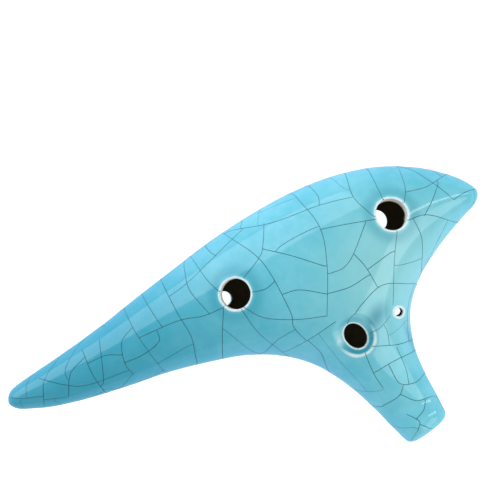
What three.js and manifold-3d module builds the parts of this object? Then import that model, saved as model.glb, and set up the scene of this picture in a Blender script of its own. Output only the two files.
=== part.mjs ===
// A transverse ceramic ocarina of the sweet-potato kind, built from its fired clay pieces:
// two press-moulded shells luted at a flat seam, the floor and the roof slab of the airway in the
// mouthpiece stem, and the blade that splits the air at the window.
// Millimetres. +X runs from the tail tip to the beak tip, the mouthpiece points to -Y,
// and +Z is the thumb-hole side. The seam between the shells lies in the plane z = 0
// until the last lines lift the group so that it rests on z = 0.

import * as THREE from "three";
import { ParametricGeometry } from "three/addons/geometries/ParametricGeometry.js";
import { LoftGeometry } from "three/addons/geometries/LoftGeometry.js";
import { mergeGeometries, mergeVertices } from "three/addons/utils/BufferGeometryUtils.js";
import Module from "manifold-3d";

const wasm = await Module();
wasm.setup();

// ---------------------------------------------------------------- driving dimensions

const BODY_LENGTH = 181; // tail tip to beak tip
const BODY_WIDTH = 97.5; // crown of the back to the end of the mouthpiece
const THUMB_DEPTH = 23.5; // seam to the highest point of the thumb side
const FINGER_DEPTH = 19.5; // seam to the crest of the finger side, before the rest land
const REST_LAND_DEPTH = 1.4; // flattened off the crest that the ocarina lies on
const WALL = 4.5; // clay between the chamber and the outside
const SEAM_GAP = 0.3; // slip joint between the shells
const FIT = 0.3; // clearance round each piece that is luted into a pocket

const LEFT_THUMB_BORE = 11.2;
const RIGHT_THUMB_BORE = 10.6;
const RIM_SOFTENING = 0.6; // flare where a finger hole meets the outside
const STRAP_BORE = 2.9;

const WINDOW_LENGTH = 9.4; // along the air stream
const WINDOW_WIDTH = 7.3;
const RECESS_LENGTH = 14.6; // dished hollow that the window is cut in
const RECESS_WIDTH = 13.2;
const RECESS_DEPTH = 2.2;

const AIRWAY_MOUTH_WIDTH = 9.4;
const AIRWAY_MOUTH_HEIGHT = 3.2;
const AIRWAY_THROAT_WIDTH = 7.5;
const AIRWAY_THROAT_HEIGHT = 1.3;
const AIRWAY_RISE = 11.2; // the throat's middle above the seam
const AIRWAY_DROP = 0.8; // the mouth's middle below the seam
const SLAB_THICKNESS = 1.1; // the floor and the roof of the airway
const MOUTH_TRIM = 2.3; // taken off the rounded stem to leave a flat end

const BLADE_LENGTH = 7.5; // the labium, back from the window's edge
const BLADE_MARGIN = 0.4; // from the window's side to the blade's side
const BLADE_EDGE = 1.4; // left at the blade's edge
const BLADE_CUTBACK = 2.4; // how far back the blade's underside is relieved

// Finger holes of the right hand, along the tail, and of the left hand, round the head.
// Places are on the drawn outline below; the two small ones are the sub-holes.
const FINGER_HOLES = [
  { at: [50, -1.2], bore: 5.0 },
  { at: [66, 0.6], bore: 6.4 },
  { at: [83, 2.4], bore: 5.3 },
  { at: [99.5, 5.0], bore: 7.0 },
  { at: [88.5, 13.2], bore: 3.4 },
  { at: [117, 10.0], bore: 7.6 },
  { at: [130.8, 11.6], bore: 8.2 },
  { at: [144.6, 6.4], bore: 8.3 },
  { at: [157.2, 0.8], bore: 6.2 },
  { at: [136.5, 0.2], bore: 3.6 },
];

// ---------------------------------------------------------------- drawn outline

// The outline is drawn to the length and width below and stretched to the real ones.
const DRAWN_LENGTH = 181.1;
const DRAWN_WIDTH = 97.4;

const TAIL_TIP = [[-0.7, -0.9], [0.9, 2.2]];
const CROWN = [
  [4.5, 3.8], [14, 5.7], [27, 8.2], [41, 11.3], [56, 15.3], [72, 19.3], [88, 23.1],
  [104, 25.8], [120, 27.2], [136, 26.6], [151, 23.5], [164, 17.7], [173, 11.2], [178, 6.1],
];
const BEAK_TIP = [[180.4, 1.4]];
const THROAT = [
  [178, -2.3], [171.3, -5.3], [160, -11.2], [149.5, -18.5], [141.9, -27.8], [138.4, -39],
  [138, -50], [138.8, -61],
];
const MOUTH_END = [[138.2, -67.7], [131.5, -71.5], [123.8, -70.6]];
const BELLY = [
  [120.2, -63.8], [116.6, -54.2], [111.6, -43.4], [104.8, -33.1], [95.4, -24.9], [83, -19],
  [69.5, -15.8], [55, -13.4], [40.5, -12.2], [27, -10.7], [14, -8.4], [5, -5.5], [1.2, -3.7],
];

// Middle lines of the tail, the beak and the stem, all from the widest point of the body.
const HEART = [120, -2];
const TAIL_LINE = [HEART, [98, 0.4], [72, 1.3], [40, -0.4], [4.2, -1.2]];
const BEAK_LINE = [HEART, [140, 0.2], [160, 3.2], [176.3, 1.9]];
const STEM_LINE = [HEART, [121.6, -25], [125.6, -46], [129.9, -65]];

const WINDOW_AT = [120.4, -27.4];
const STRAP_AT = [137.6, -26.1];
const LEFT_THUMB_AT = [148.8, 6.2];
const RIGHT_THUMB_AT = [88.0, 2.6];

// How full the body is along its length and down the stem, as a share of its fullest.
const TAIL_FULLNESS = 0.39;
const BEAK_FULLNESS = 0.5;
const STEM_FULLNESS = 0.35;
const LIP_FULLNESS = 2.0; // the blunt end of the mouthpiece, against the stem behind it
const TAIL_SWELL = [12, 126];
const BEAK_TAPER = [138, 182];
const STEM_TAPER = [-62, -12];
const LIP_SWELL = [57, 70];

// Where the chamber closes: its blunt ends, and the knots that pass under the window.
const CHAMBER_TAIL_END = [11.6, -1.4];
const CHAMBER_BEAK_END = [172.4, 3.1];
const CHAMBER_SHOULDER = [[137.4, -19], [130.6, -26.6]];
const CHAMBER_HEEL = [[112.6, -31.4]];
const THROAT_OVERRUN = 0.8; // the chamber's reach past the window's edge, under the airway
// First and last knots of the outline that the chamber follows, a wall's thickness inside.
const CROWN_RUN = [1, 12];
const THROAT_RUN = [1, 3];
const BELLY_RUN = [4, 10];
const CHAMBER_TAIL_REACH = 0.9; // how far along the tail's middle line the chamber's own one runs
const CHAMBER_BEAK_REACH = 0.82;

// ---------------------------------------------------------------- fineness

const FAN_STEPS = 4; // round a tip
const CHAMBER_FAN_STEPS = 2;
const TAIL_STEPS = 24;
const BEAK_STEPS = 12;
const STEM_STEPS = 12;
const RINGS = 8; // from the middle line out to the seam edge
const CHAMBER_RINGS = 6;
const ROUND_SIDES = 28;
const SMALL_SIDES = 16;
const FIELD_SPLIT = 4; // edges of the depth field to one step of the outline

// ---------------------------------------------------------------- plan curves

const onPlan = ([x, y]) =>
  new THREE.Vector2((x * BODY_LENGTH) / DRAWN_LENGTH, (y * BODY_WIDTH) / DRAWN_WIDTH);
const flat3 = (p) => new THREE.Vector3(p.x, p.y, 0);

function closedCurve(points) {
  return new THREE.CatmullRomCurve3(points.map(flat3), true, "catmullrom", 0.5);
}

// A point of a closed curve by knot number, which may lie between two knots.
function atKnot(curve, knot) {
  const count = curve.points.length;
  const p = curve.getPoint(THREE.MathUtils.euclideanModulo(knot, count) / count);
  return new THREE.Vector2(p.x, p.y);
}

// The point that lies inward of a knot by a distance; the outline runs clockwise.
function inset(curve, knot, distance) {
  const ahead = atKnot(curve, knot + 0.05);
  const behind = atKnot(curve, knot - 0.05);
  const along = ahead.sub(behind).normalize();
  return atKnot(curve, knot).add(new THREE.Vector2(along.y, -along.x).multiplyScalar(distance));
}

const outlineKnots = [TAIL_TIP, CROWN, BEAK_TIP, THROAT, MOUTH_END, BELLY];
const outline = closedCurve(outlineKnots.flat().map(onPlan));

// Knot numbers of the places where ribs change from one middle line to the next.
const firstKnot = (list) =>
  outlineKnots.slice(0, outlineKnots.indexOf(list)).reduce((sum, each) => sum + each.length, 0);
const knotOf = (list, index) => firstKnot(list) + index;
const ALL_KNOTS = outline.points.length;
const lastOf = (list) => knotOf(list, list.length - 1);
const CROWN_TOP = knotOf(CROWN, 8);
const THROAT_BEND = knotOf(THROAT, 3.5);
const BELLY_BEND = knotOf(BELLY, 3.5);
const TAIL_TURN = knotOf(BELLY, 11);

// ---------------------------------------------------------------- ribs

// A rib joins a point of a middle line to a point of the outline.
function ribs(curve, fromKnot, toKnot, steps, middle, backwards = false) {
  return Array.from({ length: steps + 1 }, (_, i) => {
    const share = i / steps;
    const along = backwards ? 1 - share : share;
    const inner = middle.isVector2 ? middle : middle.getPoint(along);
    return { inner, outer: atKnot(curve, THREE.MathUtils.lerp(fromKnot, toKnot, share)) };
  });
}

const chain = (...runs) => runs.flatMap((run, i) => (i ? run.slice(1) : run));

const middleLine = (points) => new THREE.SplineCurve(points.map(onPlan));
const tailLine = middleLine(TAIL_LINE);
const beakLine = middleLine(BEAK_LINE);
const stemLine = middleLine(STEM_LINE);
const tailEnd = tailLine.getPoint(1);
const beakEnd = beakLine.getPoint(1);
const stemEnd = stemLine.getPoint(1);

const bodyFields = [
  chain(
    ribs(outline, 0, knotOf(CROWN, 0), FAN_STEPS, tailEnd),
    ribs(outline, knotOf(CROWN, 0), CROWN_TOP, TAIL_STEPS, tailLine, true),
    ribs(outline, CROWN_TOP, lastOf(CROWN), BEAK_STEPS, beakLine),
    ribs(outline, lastOf(CROWN), knotOf(BEAK_TIP, 0), FAN_STEPS, beakEnd),
  ),
  chain(
    ribs(outline, knotOf(BEAK_TIP, 0), knotOf(THROAT, 0), FAN_STEPS, beakEnd),
    ribs(outline, knotOf(THROAT, 0), THROAT_BEND, BEAK_STEPS, beakLine, true),
    ribs(outline, THROAT_BEND, lastOf(THROAT), STEM_STEPS, stemLine),
    ribs(outline, lastOf(THROAT), knotOf(MOUTH_END, 1), FAN_STEPS, stemEnd),
  ),
  chain(
    ribs(outline, knotOf(MOUTH_END, 1), knotOf(BELLY, 0), FAN_STEPS, stemEnd),
    ribs(outline, knotOf(BELLY, 0), BELLY_BEND, STEM_STEPS, stemLine, true),
    ribs(outline, BELLY_BEND, TAIL_TURN, TAIL_STEPS, tailLine),
    ribs(outline, TAIL_TURN, ALL_KNOTS, FAN_STEPS, tailEnd),
  ),
];

// ---------------------------------------------------------------- depth of the body

// How deep a point of the plan lies inside a closed curve, smooth everywhere inside it:
// four over the integral, all round the point, of one over the distance to the curve.
// In a parallel strip of half width a this is (a*a - y*y) / a.
function depthField(curve) {
  const steps = curve.points.length * FIELD_SPLIT;
  const edge = Array.from({ length: steps }, (_, i) => atKnot(curve, i / FIELD_SPLIT));
  return (point) => {
    let sum = 0;
    const from = new THREE.Vector2();
    const to = new THREE.Vector2();
    for (let i = 0; i < steps; i++) {
      from.subVectors(edge[i], point);
      to.subVectors(edge[(i + 1) % steps], point);
      const [near, far] = [from.length(), to.length()];
      sum += (to.cross(from) / (near * far + from.dot(to))) * (1 / near + 1 / far);
    }
    return Math.max(0, 4 / sum);
  };
}

const { smoothstep, lerp } = THREE.MathUtils;
const alongX = (x) => (x * BODY_LENGTH) / DRAWN_LENGTH;
const alongY = (y) => (y * BODY_WIDTH) / DRAWN_WIDTH;

function fullness({ x, y }) {
  const tail = lerp(TAIL_FULLNESS, 1, smoothstep(x, ...TAIL_SWELL.map(alongX)));
  const beak = lerp(1, BEAK_FULLNESS, smoothstep(x, ...BEAK_TAPER.map(alongX)));
  const stem = lerp(STEM_FULLNESS, 1, smoothstep(y, ...STEM_TAPER.map(alongY)));
  const lip = lerp(1, LIP_FULLNESS, smoothstep(-y, ...LIP_SWELL.map(alongY)));
  return tail * beak * stem * lip;
}

// A bulge of 1 at the heart of the body, falling to 0 at the curve.
function bulgeOf(curve) {
  const depth = depthField(curve);
  const raw = (p) => Math.sqrt(depth(p) * fullness(p));
  const most = raw(onPlan(HEART));
  return (p) => raw(p) / most;
}

const bodyBulge = bulgeOf(outline);
const thumbSideAt = (p) => THUMB_DEPTH * bodyBulge(p);
const fingerSideAt = (p) => FINGER_DEPTH * bodyBulge(p);

// The way a side faces at a point, taken over a span of it; side is 1 or -1.
function facing(point, span, side) {
  const height = side > 0 ? thumbSideAt : fingerSideAt;
  const rise = (dx, dy) =>
    height(new THREE.Vector2(point.x + dx, point.y + dy)) -
    height(new THREE.Vector2(point.x - dx, point.y - dy));
  return new THREE.Vector3(-rise(span / 2, 0), -rise(0, span / 2), side * span).normalize();
}

// Moves a shape drawn round +Z so that it stands square on a side at a point.
function standOn(geometry, point, span, side) {
  const lean = new THREE.Quaternion().setFromUnitVectors(
    new THREE.Vector3(0, 0, 1),
    facing(point, span, side),
  );
  const height = side > 0 ? thumbSideAt(point) : -fingerSideAt(point);
  return geometry.applyQuaternion(lean).translate(point.x, point.y, height);
}

// ---------------------------------------------------------------- chamber plan

const windowAt = onPlan(WINDOW_AT);
const mouthAt = atKnot(outline, knotOf(MOUTH_END, 1));
const stemWay = mouthAt.clone().sub(windowAt).normalize();
const stemSide = new THREE.Vector2(-stemWay.y, stemWay.x);
const stemPoint = (along, aside = 0) =>
  windowAt.clone().addScaledVector(stemWay, along).addScaledVector(stemSide, aside);

const insetRun = (list, [first, last]) =>
  Array.from({ length: last - first + 1 }, (_, i) => inset(outline, knotOf(list, first + i), WALL));

const chamberRuns = {
  tail: [onPlan(CHAMBER_TAIL_END)],
  crown: insetRun(CROWN, CROWN_RUN),
  beak: [onPlan(CHAMBER_BEAK_END)],
  underBeak: [...insetRun(THROAT, THROAT_RUN), ...CHAMBER_SHOULDER.map(onPlan)],
  throat: [stemPoint(WINDOW_LENGTH / 2 + THROAT_OVERRUN)],
  belly: [...CHAMBER_HEEL.map(onPlan), ...insetRun(BELLY, BELLY_RUN)],
};
const chamberOutline = closedCurve(Object.values(chamberRuns).flat());
const chamberBulge = bulgeOf(chamberOutline);

const chamberKnot = (run) => {
  const runs = Object.keys(chamberRuns);
  return runs.slice(0, runs.indexOf(run)).reduce((sum, each) => sum + chamberRuns[each].length, 0);
};
const chamberTop = chamberKnot("crown") + CROWN_TOP - knotOf(CROWN, CROWN_RUN[0]);
const chamberBeakKnot = chamberKnot("beak");
const chamberThroat = chamberKnot("throat");
const chamberEnd = chamberOutline.points.length;
const chamberTail = tailLine.getPoint(CHAMBER_TAIL_REACH);
const chamberBeak = beakLine.getPoint(CHAMBER_BEAK_REACH);
const chamberTailLine = new THREE.LineCurve(tailLine.getPoint(0), chamberTail);
const chamberBeakLine = new THREE.LineCurve(beakLine.getPoint(0), chamberBeak);

const chamberFields = [
  chain(
    ribs(chamberOutline, 0, 1, CHAMBER_FAN_STEPS, chamberTail),
    ribs(chamberOutline, 1, chamberTop, TAIL_STEPS, chamberTailLine, true),
    ribs(chamberOutline, chamberTop, chamberBeakKnot - 1, BEAK_STEPS, chamberBeakLine),
    ribs(chamberOutline, chamberBeakKnot - 1, chamberBeakKnot, CHAMBER_FAN_STEPS, chamberBeak),
  ),
  chain(
    ribs(chamberOutline, chamberBeakKnot, chamberBeakKnot + 1, CHAMBER_FAN_STEPS, chamberBeak),
    ribs(chamberOutline, chamberBeakKnot + 1, chamberThroat, BEAK_STEPS, chamberBeakLine, true),
    ribs(chamberOutline, chamberThroat, chamberEnd - 1, TAIL_STEPS, chamberTailLine),
    ribs(chamberOutline, chamberEnd - 1, chamberEnd, CHAMBER_FAN_STEPS, chamberTail),
  ),
];

// ---------------------------------------------------------------- solids

// One side of a domed body over a field of ribs; rings crowd towards the seam edge.
function domeSide(field, height, rings, side) {
  const steps = field.length - 1;
  const place = new THREE.Vector2();
  return new ParametricGeometry(
    (u, v, out) => {
      const step = Math.round(u * steps);
      const rib = field[side > 0 ? step : steps - step];
      place.lerpVectors(rib.inner, rib.outer, Math.sin((v * Math.PI) / 2));
      out.set(place.x, place.y, v > 1 - 1e-6 ? 0 : side * height(place));
    },
    steps,
    rings,
  );
}

function solidOf(geometries) {
  for (const each of geometries) {
    each.deleteAttribute("normal");
    each.deleteAttribute("uv");
  }
  const merged = mergeVertices(mergeGeometries(geometries), 1e-4);
  const corners = merged.index.array;
  const kept = [];
  for (let i = 0; i < corners.length; i += 3) {
    const [a, b, c] = corners.slice(i, i + 3);
    if (a !== b && b !== c && c !== a) kept.push(a, b, c);
  }
  const mesh = new wasm.Mesh({
    numProp: 3,
    vertProperties: merged.attributes.position.array,
    triVerts: new Uint32Array(kept),
  });
  return new wasm.Manifold(mesh);
}

function domedSolid(fields, upper, lower, rings) {
  return solidOf([
    ...fields.map((field) => domeSide(field, upper, rings, 1)),
    ...fields.map((field) => domeSide(field, lower, rings, -1)),
  ]);
}

// A solid through square-cornered sections that stand across the stem.
// Each section has its distance from the window, half width, lowest and highest point.
function stemLoft(sections) {
  const rings = sections.map(({ along, halfWidth, low, high }) =>
    [[-1, low], [1, low], [1, high], [-1, high]].map(([side, z]) => {
      const p = stemPoint(along, side * halfWidth);
      return new THREE.Vector3(p.x, p.y, z);
    }),
  );
  const loft = new LoftGeometry(rings, { closed: true, capStart: true, capEnd: true });
  return outward(loft);
}

// The solid of a geometry, turned the right way out.
function outward(geometry) {
  const plain = geometry.index ? geometry.toNonIndexed() : geometry;
  const made = solidOf([plain.clone()]);
  if (made.volume() > 0) return made;
  const corners = plain.attributes.position;
  const turned = corners.clone();
  for (let i = 0; i < corners.count; i += 3) {
    turned.copyAt(i + 1, corners, i + 2);
    turned.copyAt(i + 2, corners, i + 1);
  }
  return solidOf([new THREE.BufferGeometry().setAttribute("position", turned)]);
}

function block(size, centre) {
  return outward(new THREE.BoxGeometry(...size).translate(...centre));
}

const BEYOND = 30; // how far a cutter runs past what it cuts
const HUGE = 2 * (BODY_LENGTH + BODY_WIDTH);

const above = (z) => block([HUGE, HUGE, HUGE], [0, 0, z + HUGE / 2]);
const below = (z) => block([HUGE, HUGE, HUGE], [0, 0, z - HUGE / 2]);

// A hole square through one side into the chamber, with its softened rim.
function holeCutter(at, bore, side, sides) {
  const radius = bore / 2;
  const profile = [
    [0, -2 * WALL], [radius, -2 * WALL], [radius, -2 * RIM_SOFTENING],
    [radius + RIM_SOFTENING, 0], [radius + RIM_SOFTENING, BEYOND], [0, BEYOND],
  ].map(([r, z]) => new THREE.Vector2(r, z));
  const turned = new THREE.LatheGeometry(profile, sides).rotateX(Math.PI / 2);
  return outward(standOn(turned, onPlan(at), bore, side));
}

// An oval standing on the window's axis, long side down the stem.
function ovalCutter(long, wide, low, high) {
  const oval = new THREE.Shape();
  oval.absellipse(0, 0, long / 2, wide / 2, 0, 2 * Math.PI);
  const column = new THREE.ExtrudeGeometry(oval, {
    depth: high - low,
    bevelEnabled: false,
    curveSegments: ROUND_SIDES,
  });
  column.rotateZ(Math.atan2(stemWay.y, stemWay.x));
  return outward(column.translate(windowAt.x, windowAt.y, low));
}

// The dished recess round the window: the lower part of an oval bowl.
function recessCutter() {
  const bowl = new THREE.SphereGeometry(1, ROUND_SIDES, SMALL_SIDES);
  bowl.scale(RECESS_LENGTH / 2, RECESS_WIDTH / 2, RECESS_DEPTH);
  bowl.rotateZ(Math.atan2(stemWay.y, stemWay.x));
  return outward(standOn(bowl, windowAt, RECESS_WIDTH / 3, 1));
}

// ---------------------------------------------------------------- airway

const windowEdge = WINDOW_LENGTH / 2;
const mouthEnd = mouthAt.distanceTo(windowAt) - MOUTH_TRIM;
const airwayShare = (along) => (along - windowEdge) / (mouthEnd - windowEdge);

// A section of the airway or of a slab beside it, at a distance down the stem.
function airwaySection(along, { floor = 0, roof = 0, side = 0 }) {
  const share = airwayShare(along);
  const middle = lerp(AIRWAY_RISE, -AIRWAY_DROP, share);
  const half = lerp(AIRWAY_THROAT_HEIGHT, AIRWAY_MOUTH_HEIGHT, share) / 2;
  const halfWidth = lerp(AIRWAY_THROAT_WIDTH, AIRWAY_MOUTH_WIDTH, share) / 2 + side;
  return { along, halfWidth, low: middle - half - floor, high: middle + half + roof };
}

// Floor slab, between the channel's bottom and the air; the roof slab is its twin above.
function slabSection(along, isRoof) {
  const air = airwaySection(along, {});
  const halfWidth = air.halfWidth - FIT;
  return isRoof
    ? { along, halfWidth, low: air.high, high: air.high + SLAB_THICKNESS }
    : { along, halfWidth, low: air.low - SLAB_THICKNESS, high: air.low };
}

const slabRoom = SLAB_THICKNESS + FIT;
const channel = stemLoft(
  [windowEdge - 1, mouthEnd + BEYOND].map((along) =>
    airwaySection(along, { floor: slabRoom, roof: slabRoom })),
);
const slab = (isRoof) =>
  stemLoft([windowEdge + FIT, mouthEnd].map((along) => slabSection(along, isRoof)));

// ---------------------------------------------------------------- shells

const body = domedSolid(bodyFields, thumbSideAt, fingerSideAt, RINGS);
const chamber = domedSolid(
  chamberFields,
  (p) => (THUMB_DEPTH - WALL) * chamberBulge(p),
  (p) => (FINGER_DEPTH - WALL) * chamberBulge(p),
  CHAMBER_RINGS,
);

const pastMouth = stemLoft(
  [mouthEnd, mouthEnd + BEYOND].map((along) => ({
    along,
    halfWidth: BEYOND,
    low: -BEYOND,
    high: BEYOND,
  })),
);

const strapCutter = outward(
  new THREE.CylinderGeometry(STRAP_BORE / 2, STRAP_BORE / 2, HUGE, SMALL_SIDES)
    .rotateX(Math.PI / 2)
    .translate(onPlan(STRAP_AT).x, onPlan(STRAP_AT).y, 0),
);

const windowCutter = ovalCutter(WINDOW_LENGTH, WINDOW_WIDTH, SEAM_GAP, THUMB_DEPTH + BEYOND);
const hollowBody = body.subtract(chamber).subtract(pastMouth).subtract(strapCutter);

const bladeHalfWidth = WINDOW_WIDTH / 2 - BLADE_MARGIN;

function bladeBlock(grow) {
  const surface = THUMB_DEPTH + BEYOND;
  const wide = { halfWidth: bladeHalfWidth + grow, low: SEAM_GAP + WALL, high: surface };
  return stemLoft([
    { along: -windowEdge - BLADE_LENGTH - grow, ...wide },
    { along: 0, ...wide },
  ]);
}

// The wedge taken from under the blade so that it thins towards its edge.
function bladeRelief() {
  const edgeTop = thumbSideAt(stemPoint(-windowEdge)) - RECESS_DEPTH;
  const underEdge = edgeTop - BLADE_EDGE;
  const halfWidth = bladeHalfWidth + FIT;
  return stemLoft([
    { along: -windowEdge - BLADE_CUTBACK, halfWidth, low: -1, high: underEdge - WALL / 2 },
    { along: 0, halfWidth, low: -1, high: underEdge },
  ]);
}

function thumbShell() {
  const bores = [
    [LEFT_THUMB_AT, LEFT_THUMB_BORE],
    [RIGHT_THUMB_AT, RIGHT_THUMB_BORE],
  ].map(([at, bore]) => holeCutter(at, bore, 1, ROUND_SIDES));
  return bores
    .reduce((solid, bore) => solid.subtract(bore), hollowBody.intersect(above(SEAM_GAP / 2)))
    .subtract(windowCutter)
    .subtract(recessCutter());
}

function fingerShell() {
  return FINGER_HOLES.map(({ at, bore }) =>
    holeCutter(at, bore, -1, bore < WALL ? SMALL_SIDES : ROUND_SIDES),
  )
    .reduce((solid, bore) => solid.subtract(bore), hollowBody.intersect(below(-SEAM_GAP / 2)))
    .subtract(below(REST_LAND_DEPTH - FINGER_DEPTH))
    .subtract(channel);
}

const thumbHalf = thumbShell();
const pieces = {
  back_shell: thumbHalf.subtract(bladeBlock(FIT)).subtract(channel),
  front_shell: fingerShell(),
  windway_floor: slab(false),
  windway_roof: slab(true),
  labium_blade: thumbHalf.intersect(bladeBlock(0)).subtract(bladeRelief()),
};

// ---------------------------------------------------------------- finishes and scene

const glaze = new THREE.MeshStandardMaterial({ color: 0x62bfd2, roughness: 0.12, metalness: 0 });
const bareClay = new THREE.MeshStandardMaterial({ color: 0xcdbcaa, roughness: 0.85, metalness: 0 });
const finish = {
  back_shell: glaze,
  front_shell: glaze,
  windway_floor: bareClay,
  windway_roof: bareClay,
  labium_blade: glaze,
};

function toGeometry(solid) {
  const mesh = solid.getMesh();
  const geometry = new THREE.BufferGeometry();
  geometry.setAttribute("position", new THREE.BufferAttribute(mesh.vertProperties, 3));
  geometry.setIndex(new THREE.BufferAttribute(mesh.triVerts, 1));
  geometry.computeVertexNormals();
  return geometry;
}

const ocarina = new THREE.Group();
for (const [name, solid] of Object.entries(pieces)) {
  const mesh = new THREE.Mesh(toGeometry(solid), finish[name]);
  mesh.name = name;
  ocarina.add(mesh);
}

// The origin is under the middle of the box that the ocarina fills, on what it rests on.
const extent = new THREE.Box3().setFromObject(ocarina);
const middle = extent.getCenter(new THREE.Vector3());
ocarina.position.set(-middle.x, -middle.y, -extent.min.z);

export default ocarina;
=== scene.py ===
import json
import math

import bmesh
import bpy
import numpy as np
from mathutils import Matrix, Vector


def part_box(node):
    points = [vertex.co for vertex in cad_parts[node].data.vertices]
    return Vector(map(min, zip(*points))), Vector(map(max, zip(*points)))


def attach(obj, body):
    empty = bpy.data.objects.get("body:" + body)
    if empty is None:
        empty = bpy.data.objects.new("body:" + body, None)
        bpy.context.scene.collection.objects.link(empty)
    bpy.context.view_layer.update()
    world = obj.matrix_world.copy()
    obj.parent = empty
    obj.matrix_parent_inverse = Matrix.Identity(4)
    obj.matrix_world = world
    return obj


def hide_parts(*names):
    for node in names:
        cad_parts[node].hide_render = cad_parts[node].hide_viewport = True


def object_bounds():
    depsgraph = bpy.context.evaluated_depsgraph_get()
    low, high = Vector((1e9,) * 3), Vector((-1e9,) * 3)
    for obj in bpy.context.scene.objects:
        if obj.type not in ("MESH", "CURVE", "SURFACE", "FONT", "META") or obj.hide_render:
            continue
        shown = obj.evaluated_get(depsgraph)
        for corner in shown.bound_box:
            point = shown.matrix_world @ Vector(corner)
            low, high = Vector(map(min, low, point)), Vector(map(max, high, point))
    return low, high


bl_info = {
    "name": "Transverse Ocarina",
    "version": (1, 0, 0),
    "blender": (4, 5, 0),
    "location": "3D View > Sidebar > Ocarina",
    "description": "Builds a crackle-glazed clay ocarina round its measured frame",
    "category": "Object",
}

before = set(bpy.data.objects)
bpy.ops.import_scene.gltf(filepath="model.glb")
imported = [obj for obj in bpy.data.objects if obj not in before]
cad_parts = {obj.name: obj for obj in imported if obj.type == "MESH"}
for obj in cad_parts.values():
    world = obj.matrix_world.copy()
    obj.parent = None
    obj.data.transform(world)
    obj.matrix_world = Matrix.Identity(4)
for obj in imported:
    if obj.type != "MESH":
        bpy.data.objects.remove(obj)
CAD_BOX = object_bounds()

MM = 0.001  # metres in a millimetre; the shape is worked out in millimetres

# ---------------------------------------------------------------- drawn outline

# The plan of the body, drawn clockwise from the tail tip on a grid of about 180 by 97,
# which is stretched to the real length and width. The mouthpiece points to -Y.
TAIL_TIP = [(-0.7, -0.9), (0.9, 2.2)]
CROWN = [
    (4.5, 3.8), (14, 5.7), (27, 8.2), (41, 11.3), (56, 15.3), (72, 19.3), (88, 23.1),
    (104, 25.8), (120, 27.2), (136, 26.6), (151, 23.5), (164, 17.7), (173, 11.2), (178, 6.1),
]
BEAK_TIP = [(180.4, 1.4)]
THROAT = [
    (178, -2.3), (171.3, -5.3), (160, -11.2), (149.5, -18.5), (141.9, -27.8),
    (138.4, -39), (138, -50), (138.8, -61),
]
MOUTH_END = [(138.2, -67.7), (131.5, -71.5), (123.8, -70.6)]
BELLY = [
    (120.2, -63.8), (116.6, -54.2), (111.6, -43.4), (104.8, -33.1), (95.4, -24.9), (83, -19),
    (69.5, -15.8), (55, -13.4), (40.5, -12.2), (27, -10.7), (14, -8.4), (5, -5.5), (1.2, -3.7),
]
DRAWN = (181.1, 97.4)  # the drawn length and width
HEART = (120, -2)
WINDOW_AT = (120.4, -27.4)
STRAP_AT = (137.6, -26.1)
THUMB_HOLES = [((148.8, 6.2), "left_thumb_bore"), ((88.0, 2.6), "right_thumb_bore")]
FINGER_HOLES = [
    ((50, -1.2), 5.0), ((66, 0.6), 6.4), ((83, 2.4), 5.3), ((99.5, 5.0), 7.0),
    ((88.5, 13.2), 3.4), ((117, 10.0), 7.6), ((130.8, 11.6), 8.2), ((144.6, 6.4), 8.3),
    ((157.2, 0.8), 6.2), ((136.5, 0.2), 3.6),
]

# How full the body is along its length and down the stem, as shares of its fullest.
TAIL_FULLNESS, TAIL_SWELL = 0.39, (12, 126)
BEAK_FULLNESS, BEAK_TAPER = 0.5, (138, 182)
STEM_FULLNESS, STEM_TAPER = 0.35, (-62, -12)
LIP_FULLNESS, LIP_SWELL = 2.0, (57, 70)

# Knots that close the chamber, which otherwise follows the outline a wall's thickness inside.
CHAMBER_TAIL_END = (11.6, -1.4)
CHAMBER_BEAK_END = (172.4, 3.1)
CHAMBER_SHOULDER = [(137.4, -19), (130.6, -26.6)]
CHAMBER_HEEL = (112.6, -31.4)
THROAT_OVERRUN = 0.8
MOUTH_TRIM = 2.3
SEAM_GAP = 0.3

BODY_LENGTH, BODY_WIDTH = 181, 97.5  # what the drawn length and width stand for
BLADE_EDGE, BLADE_CUTBACK = 1.4, 2.4
SLAB_SETBACK = 2.0  # the slabs of the airway end this far inside the mouth
FIT = 0.3
SLAB_EDGE = 0.15  # bevel along the edges of the slabs

OUTLINE_SPLIT = 8  # field edges to one span between knots
FINE_PITCH, QUICK_PITCH = 0.5, 0.9  # spacing of the modelling grid, in millimetres
MARGIN = 3.0  # room left round the body on the grid
LEAST_SLOPE = 0.01

# Strength, middle, direction and half sizes of soft patches on the thumb side: painted shade by the window
# and along the stem, and thin glaze.
SHADE_PATCHES = [(1.0, (129.3, -24.3), (10, 7), 9, 5), (0.6, (137.9, -36.8), (0, 1), 9, 2)]
THIN_PATCHES = [(0.5, (114.6, -26.6), (2, 7), 4.5, 2.2)]

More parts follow.
